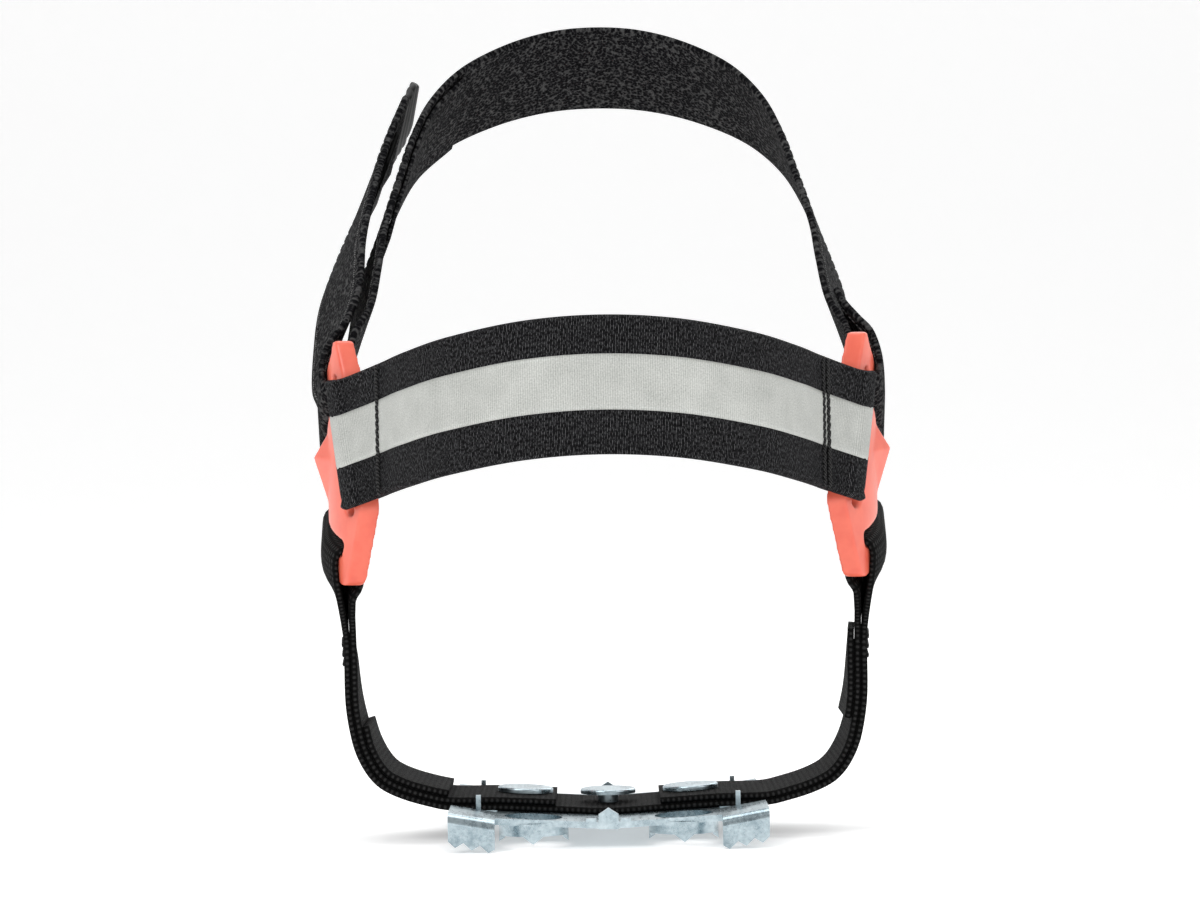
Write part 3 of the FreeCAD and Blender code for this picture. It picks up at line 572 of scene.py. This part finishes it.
ARC_START = REAR_START + heading(REAR_HEADING) * REAR_RUN
ARC_CENTRE = ARC_START - outward(REAR_HEADING) * ARC_R
ARC_END = ARC_CENTRE + outward(FRONT_HEADING) * ARC_R


def wall_x(y):
    """Distance out to the middle of a buckle's wall."""
    if y < ARC_START[1]:
        return REAR_START[0] + (y - REAR_START[1]) * math.tan(REAR_HEADING)
    if y < ARC_END[1]:
        return ARC_CENTRE[0] + math.sqrt(ARC_R ** 2 - (y - ARC_CENTRE[1]) ** 2)
    return ARC_END[0] + (y - ARC_END[1]) * math.tan(FRONT_HEADING)


# ---------------------------------------------------------------- sole strap

def face_offset(inward):
    """The sole strap's face set in by a distance, as (X, Z) on the right."""
    face = np.array(STRAP_FACE)
    slope = np.gradient(face, axis=0)
    slope[0] = (1.0, 0.0)
    slope /= np.linalg.norm(slope, axis=1, keepdims=True)
    return face + np.stack([-slope[:, 1], slope[:, 0]], axis=1) * inward


def forward_shift(z):
    """How far the strap has moved forward at a height."""
    t = min(max((z - SHIFT_FROM_Z) / (FLEX_HIGH_Z - SHIFT_FROM_Z), 0.0), 1.0)
    return LOOP_SHIFT * t * t * (3 - 2 * t)


def loop_turn(y):
    """Middle of the webbing round the lower bar at one place along it, from outside to in."""
    x = wall_x(y)
    low = BAR_LOW_START[1] + (y - BAR_LOW_START[0]) * BAR_LOW_RISE
    high = low + BAR_LOW_TALL
    reach = WALL_HALF + 0.95
    return [
        (x * 0.35 + 50.9 * 0.65 + 0.2, low - 3.4), (x + reach - 0.25, low), (x + reach, high - 1.2),
        (x + reach - 0.8, high + 0.75), (x, high + 1.15), (x - reach + 0.8, high + 0.75),
        (x - reach, high - 1.2), (x - reach + 0.4, low - 0.6), (x * 0.4 + 49.0 * 0.6 - 0.9, low - 3.6),
    ]


def riser_point(x, z, v):
    """Point of a riser: it moves forward and its front edge leans out as it climbs."""
    flare = RISER_FLARE * v * forward_shift(z) / LOOP_SHIFT
    return (x + flare, v + forward_shift(z), z)


def sole_half(v):
    """Control points of the right half: under layer outward, round the bar, upper layer back."""
    under = face_offset(WEBBING / 2 + 0.02)
    upper = face_offset(WEBBING / 2 + PLY)
    points = [riser_point(x, z, v) for x, z in under]
    y = v * 0.99 + LOOP_SHIFT
    points += [(x, y, z) for x, z in loop_turn(y)]
    points += [riser_point(x, z, v) for x, z in upper[:0:-1]]
    return points


def sole_control(v):
    """Control points of the whole sole strap, from its left end to its right end."""
    right = sole_half(v)
    left = [(-x, y, z) for x, y, z in right[:0:-1]]
    return left + right


def third_layer(v, side, keep):
    """Control points of a short layer sewn inside a riser."""
    inside = face_offset(WEBBING / 2 + 2 * PLY)
    points = [riser_point(x, z, v) for x, z in inside if keep(x, z)]
    return [(side * x, y, z) for x, y, z in points]


def blend_risers(piece):
    """Bake a piece's placement into its mesh."""
    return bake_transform(piece)


def bar_tack_spots(side):
    """Rows of stitches across the outer face of a riser."""
    spots = []
    for row, z in enumerate(TACK_ROWS):
        x = TACK_FACE_X + (z - TACK_ROWS[0]) * TACK_FACE_SLOPE
        for k in range(TACK_COUNT):
            v = (k - (TACK_COUNT - 1) / 2) * TACK_PITCH
            place = np.array(riser_point(x + 0.1, z, v))
            lean = 0.35 if (k + row) % 2 else -0.35
            flip = np.array([side, 1.0, 1.0])
            spots.append((
                place * flip, np.array([RISER_FLARE, 1.0, lean]) * flip,
                np.array([1.0, -RISER_FLARE, 0.0]) * flip, 1.75,
            ))
    return spots


def make_sole_strap(webbing, thread):
    """Sole strap in two layers, its sewn-down ends and their bar tacks."""
    across = across_samples(STRAP_HALF, WEBBING * EDGE_SHARE)
    profile = flat_profile(across, STRAP_HALF, WEBBING)
    grid = grid_from(sole_control, across, WEBBING_STEP)
    main = strap("sole_strap", grid, across, profile, webbing)
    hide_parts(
        "sole_strap", "sole_strap_inner_layer", "left_sole_flex", "right_sole_flex",
        "left_sole_loop", "right_sole_loop",
    )
    blend_risers(main)
    tails = (
        ("left_strap_tail", -1, lambda x, z: x > 30 and z < LEFT_TAIL_TOP),
        ("right_strap_tail", 1, lambda x, z: z > RIGHT_TAIL_END),
    )
    for name, side, keep in tails:
        grid = grid_from(lambda v, s=side, k=keep: third_layer(v, s, k), across, WEBBING_STEP)
        piece = strap(name + "_cloth", grid, across, profile, webbing)
        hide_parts(name)
        blend_risers(piece)
    for name, side in (("left_bar_tack", -1), ("right_bar_tack", 1)):
        piece = stitch_mesh(name + "_stitches", bar_tack_spots(side), 0.75, 0.5, thread)
        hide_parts(name)
        blend_risers(piece)


# ---------------------------------------------------------------- heel band

def band_middle(inward):
    """Right half of the heel band in plan, set in from its outer face."""
    face = np.array(BAND_FACE)
    slope = np.gradient(face, axis=0)
    slope[0] = (1.0, 0.0)
    slope /= np.linalg.norm(slope, axis=1, keepdims=True)
    return face + np.stack([-slope[:, 1], slope[:, 0]], axis=1) * inward


def band_z(x):
    """Height of the middle of the band; beyond the seam it keeps falling to the bar."""
    if x <= BAND_SEAM_X:
        return BAND_BACK_Z - (BAND_BACK_Z - BAND_SEAM_Z) * (x / BAND_SEAM_X) ** 2
    return BAND_SEAM_Z - (BAND_SEAM_Z - BAND_BAR_Z) * min((x - BAND_SEAM_X) / 7.5, 1.0)


def heel_turn(v):
    """Elastic round the rear bar at one height, from the outer face through the slot."""
    z = BAND_BAR_Z + v
    y = REAR_LOW[0] + (z - REAR_LOW[1]) * REAR_LEAN
    y_slot = y + REAR_BAR
    half = WALL_HALF / math.cos(REAR_HEADING)
    x = wall_x(y)
    x_slot = wall_x(y_slot)
    plan = [
        (x + half - 1.2, y - 1.75), (x + half + 1.1, y - 0.35), (x_slot + half + 1.15, y_slot - 0.5),
        (x_slot + half + 0.75, y_slot + 1.0), (x_slot + 0.2, y_slot + 1.2),
        (x_slot - half - 0.5, y_slot + 0.5), (x - half - 1.0, y + 0.1), (x - half - 1.3, y - 2.4),
    ]
    return [(a, b, band_z(a) + v) for a, b in plan]


def heel_half(v):
    """Control points of the right half of the elastic, out to the bar and back to the seam."""
    points = [(x, y, band_z(x) + v) for x, y in band_middle(ELASTIC / 2)]
    points += heel_turn(v)
    end = band_middle(ELASTIC * 1.55)[-1]
    points.append((end[0] + 0.4, end[1] + 0.6, band_z(end[0]) + v))
    return points


def heel_control(v):
    right = heel_half(v)
    left = [(-x, y, z) for x, y, z in right[:0:-1]]
    return left + right


def outer_only(v):
    """Outer face's run of the elastic, from one fold to the other."""
    stop = len(BAND_FACE) + 3
    right = heel_half(v)[:stop]
    left = [(-x, y, z) for x, y, z in right[:0:-1]]
    return left + right


def blend_heel(piece):
    """Bake a piece's placement into its mesh."""
    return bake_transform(piece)


def seam_spots(side, columns):
    """Stitches down the end of the band: a thick twisted line, once or twice."""
    spots = []
    for column in columns:
        for k in range(SEAM_STITCHES):
            v = (k - (SEAM_STITCHES - 1) / 2) * SEAM_PITCH
            foot = np.array(heel_half(v)[len(BAND_FACE) - 1])
            after = np.array(heel_half(v)[len(BAND_FACE)])
            along = after - foot
            along /= np.linalg.norm(along)
            up = np.array(heel_half(v + 0.5)[len(BAND_FACE) - 1]) - foot
            out = np.cross(along, up)
            out /= np.linalg.norm(out)
            point = foot + along * column + out * (ELASTIC / 2 + 0.12)
            direction = up / np.linalg.norm(up) + along * 0.28
            flip = np.array([side, 1.0, 1.0])
            spots.append((point * flip, direction * flip, out * flip, 1.95))
    return spots


def make_heel_band(elastic, silver, thread):
    """Elastic round the heel with its reflective strip and sewn ends."""
    across = across_samples(STRAP_HALF, ELASTIC * EDGE_SHARE)
    profile = corded_profile(across, STRAP_HALF, ELASTIC)
    grid = grid_from(heel_control, across, ELASTIC_STEP)
    band = strap("heel_elastic", grid, across, profile, elastic)
    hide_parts("heel_band", "left_heel_loop", "right_heel_loop")
    blend_heel(band)
    across = np.linspace(-REFLECTIVE_HALF, REFLECTIVE_HALF, 15) + REFLECTIVE_UP
    profile = flat_profile(across - REFLECTIVE_UP, REFLECTIVE_HALF, 0.24)
    grid = grid_from(outer_only, across, ELASTIC_STEP)
    strip = strap("reflective_band", grid, across, profile, silver, offset=ELASTIC / 2 + 0.06)
    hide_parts("reflective_strip", "left_reflective_end", "right_reflective_end")
    blend_heel(strip)
    for name, side, columns in (("left_heel_seam", -1, (0.9,)), ("right_heel_seam", 1, (0.3, 1.7))):
        piece = stitch_mesh(name + "_stitches", seam_spots(side, columns), 0.85, 0.6, thread)
        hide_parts(name)
        blend_heel(piece)


# ---------------------------------------------------------------- instep strap

def instep_place(distance, x, v, lean):
    """Point of the instep strap from its distance above the bars and its place across."""
    return INSTEP_ORIGIN + UP * distance + RUN * v + np.array([x + lean * v, 0.0, 0.0])


def rising(distance):
    """From 0 at the bars to 1 where the strap has taken up its full lean."""
    t = min(max(distance / LEAN_FULL_AT, 0.0), 1.0)
    return t * t * (3 - 2 * t)


def arch_lean(distance, x):
    return ARCH_LEAN * x / ARCH_LEAN_X * rising(distance)


def tail_lean(distance, x):
    return TAIL_LEAN * (x / TAIL_LEAN_X) ** 3 * rising(distance)


def bar_turn(v, side):
    """Strap round an upper bar, from its inner face down, under and up outside."""
    reach = WALL_HALF + 1.05
    middle = INSTEP_ORIGIN + RUN * v
    x = wall_x(middle[1])
    foot = wall_x(middle[1] - UP[1] * 5.5)
    plan = [(0.5, x - reach), (-4.6, foot - reach), (-6.2, foot - 1.0), (-6.2, foot + 1.0),
            (-4.6, foot + reach), (0.0, x + reach)]
    return [instep_place(d, side * across, v, 0.0) for d, across in plan]


def instep_main(v):
    """The strap from its sewn right end, round both bars, to the start of the left tail."""
    right = [instep_place(d, x, v, arch_lean(d, x)) for d, x in RIGHT_TAIL]
    right += bar_turn(v, 1)[::-1]
    arch = [instep_place(d, x, v, arch_lean(d, x)) for d, x in ARCH]
    arch += [instep_place(d, -x, v, -arch_lean(d, x)) for d, x in ARCH[-2::-1]]
    left = bar_turn(v, -1)
    left += [instep_place(d, -x, v, -tail_lean(d, x)) for d, x in ((5.0, 53.8), (9.2, 53.4))]
    return right + arch + left


def tail_run(v, start=0.0, stop=100.0):
    plan = [p for p in TAIL if start <= p[0] <= stop]
    return [instep_place(d, -x, v, -tail_lean(d, x)) for d, x in plan]


def pile_run(v):
    plan = [p for p in ARCH[::-1] if PILE_FROM <= p[0] <= PILE_TO]
    return [instep_place(d, -x, v, -arch_lean(d, x)) for d, x in plan]


def blend_along_instep(piece, low_body, high_body, low, high):
    """Bake a piece's placement into its mesh; the two bodies and the stretch it is given are not used.
    """
    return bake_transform(piece)


def edge_stitches(name, control_at, side, lift, thread, body_pair, span):
    """A line of small stitches near each edge of a strap."""
    lines = np.array([-STRAP_HALF + STITCH_IN, 0.0, STRAP_HALF - STITCH_IN])
    grid = grid_from(control_at, lines, 0.6)
    spots = []
    for column in (0, 2):
        spots += stitch_row(grid, column, STITCH_PITCH, STITCH_LENGTH, lift, side)
    rows = stitch_mesh(name, spots, 0.5, 0.26, thread)
    blend_along_instep(rows, *body_pair, *span)


def make_instep(pile, hook, rubber, thread):
    across = across_samples(STRAP_HALF, INSTEP_THICK * 0.5)
    grid = grid_from(instep_main, across, INSTEP_STEP)
    main = strap("instep_strap_cloth", grid, across, flat_profile(across, STRAP_HALF, 1.35),
                 pile, -1)
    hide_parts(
        "instep_strap", "right_instep_tail", "right_instep_loop", "right_instep_flex",
        "left_instep_fold", "left_instep_flex",
    )
    blend_along_instep(main, "harness", "instep", 2.0, 10.0)
    edge_stitches("instep_edge_stitches", instep_main, -1, 0.72, thread,
                  ("harness", "instep"), (2.0, 10.0))
    tail_across = across_samples(STRAP_HALF, TAIL_THICK * 0.5)
    tail_grid = grid_from(tail_run, tail_across, INSTEP_STEP)
    tail = strap("closure_tail_cloth", tail_grid, tail_across,
                 flat_profile(tail_across, STRAP_HALF, TAIL_THICK), pile)
    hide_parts("closure_tail")
    blend_along_instep(tail, "instep", "closure", 8.2, 12.5)
    edge_stitches("tail_edge_stitches", tail_run, 1, TAIL_THICK / 2 + 0.06, thread,
                  ("instep", "closure"), (8.2, 12.5))
    narrow = across_samples(STRAP_HALF - 1.0, 0.4)
    patch_grid = grid_from(lambda v: tail_run(v, HOOK_FROM, HOOK_TO), narrow, INSTEP_STEP)
    patch = strap("hook_patch_pad", patch_grid, narrow,
                  flat_profile(narrow, STRAP_HALF - 1.0, 0.9), hook,
                  offset=-TAIL_THICK / 2 - 0.5)
    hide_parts("hook_patch")
    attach(patch, "closure")
    pile_grid = grid_from(pile_run, narrow, INSTEP_STEP)
    pad = strap("loop_pile_pad", pile_grid, narrow,
                flat_profile(narrow, STRAP_HALF - 1.0, 0.8), pile, -1,
                offset=-INSTEP_THICK / 2 - 0.4)
    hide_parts("loop_pile_tape")
    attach(pad, "instep")
    make_pull_tab(rubber)


def make_pull_tab(rubber):
    """Tongue of soft rubber past the end of the tail, with three grip ribs."""
    half = STRAP_HALF - 3.0
    across = across_samples(half, 0.7)

    def run(v):
        before, start = tail_run(v, 60.0, 68.0)
        along = (start - before) / np.linalg.norm(start - before)
        return [start + along * t for t in (-1.2, 1.5, 4.0, 6.5, 9.0)]

    grid = grid_from(run, across, 0.35)
    length = np.linspace(-1.2, 9.0, grid.shape[0])
    normal = grid_normals(grid)
    for centre in (2.6, 4.8, 7.0):
        grid = grid + normal * (0.28 * np.exp(-((length - centre) / 0.45) ** 2))[:, None, None]
    taper = np.clip((length - 5.5) / 3.5, 0, 1) ** 2
    middle = grid[:, [across.size // 2]]
    grid = middle + (grid - middle) * (1 - 0.35 * taper)[:, None, None]
    tab = strap("pull_tab_rubber", grid, across, flat_profile(across, half, 1.4), rubber)
    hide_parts("pull_tab")
    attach(tab, "closure")


# ---------------------------------------------------------------- hard parts

def make_buckles(coral):
    """Both moulded buckles, with their edges rounded over."""
    for side in ("left", "right"):
        piece = soft_copy(side + "_buckle_moulding", side + "_buckle", BUCKLE_VOXEL, BUCKLE_PASSES)
        piece.data.materials.clear()
        piece.data.materials.append(coral)
        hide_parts(side + "_buckle")
        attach(piece, "harness")


def paint(node, material):
    """Give a carried-over solid its finish."""
    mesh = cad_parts[node].data
    if not mesh.materials:
        mesh.materials.append(material)
    for i in range(len(mesh.materials)):
        mesh.materials[i] = material


# ---------------------------------------------------------------- stage

def make_backdrop():
    """White sweep: a floor that curves up into a wall behind the object."""
    half_wide = 9.0
    front = -8.0
    bend_at = 1.2
    radius = 0.8
    wall_top = 9.0
    profile = [(front, 0.0), (bend_at, 0.0)]
    for k in range(1, 13):
        a = math.radians(90 * k / 12)
        profile.append((bend_at + radius * math.sin(a), radius * (1 - math.cos(a))))
    profile.append((bend_at + radius, wall_top))
    vertices = [(x, y, z) for y, z in profile for x in (-half_wide, half_wide)]
    faces = [(2 * k, 2 * k + 1, 2 * k + 3, 2 * k + 2) for k in range(len(profile) - 1)]
    mesh = bpy.data.meshes.new("floor")
    mesh.from_pydata(vertices, [], faces)
    mesh.polygons.foreach_set("use_smooth", [True] * len(mesh.polygons))
    floor = bpy.data.objects.new("floor", mesh)
    bpy.context.scene.collection.objects.link(floor)
    pale = Shader("pale_floor", grey(0.9), 0.9)
    pale.main.inputs["Emission Color"].default_value = (1.0, 1.0, 1.0, 1.0)
    pale.main.inputs["Emission Strength"].default_value = 0.36
    pale.main.inputs["Specular IOR Level"].default_value = 0.0
    mesh.materials.append(pale.material)


def make_stage():
    """Pale floor, soft light from all round and a camera level with the buckles."""
    scene = bpy.context.scene
    scene.view_settings.view_transform = "Standard"
    world = bpy.data.worlds.new("studio")
    world.use_nodes = True
    world.node_tree.nodes["Background"].inputs["Color"].default_value = (1.0, 1.0, 1.0, 1.0)
    world.node_tree.nodes["Background"].inputs["Strength"].default_value = 0.42
    scene.world = world
    make_backdrop()
    lamps = (
        ("key", (-0.55, -0.75, 0.75), 0.45, 4.4), ("fill", (0.7, -0.6, 0.5), 0.6, 2.0),
        ("top", (0.0, 0.15, 1.0), 0.8, 4.2), ("rim", (0.3, 0.8, 0.6), 0.5, 1.8),
    )
    for name, place, size, power in lamps:
        light = bpy.data.lights.new(name, "AREA")
        light.size = size
        light.energy = power
        lamp = bpy.data.objects.new(name, light)
        lamp.location = place
        aim = Vector((0.0, 0.0, 0.07)) - Vector(place)
        lamp.rotation_euler = aim.to_track_quat("-Z", "Y").to_euler()
        scene.collection.objects.link(lamp)
    camera = bpy.data.cameras.new("camera")
    camera.sensor_width = CAMERA_SENSOR
    camera.lens = CAMERA_LENS
    camera.clip_start = 0.01
    eye = bpy.data.objects.new("camera", camera)
    eye.location = tuple(to_frame(CAMERA_PLACE))
    eye.rotation_euler = (math.radians(90.0), math.radians(CAMERA_ROLL), 0.0)
    scene.collection.objects.link(eye)
    scene.camera = eye


webbing = webbing_material()
thread = thread_material("black_thread", 0.05)
edge_thread = thread_material("edge_thread", 0.16)
pile = pile_material()
zinc = zinc_material()
paint("traction_plate", zinc)
paint("strap_rivets", zinc)
make_buckles(coral_material())
make_sole_strap(webbing, thread)
make_heel_band(elastic_material(), reflective_material(), thread)
make_instep(pile, hook_material(), rubber_material(), edge_thread)
make_stage()
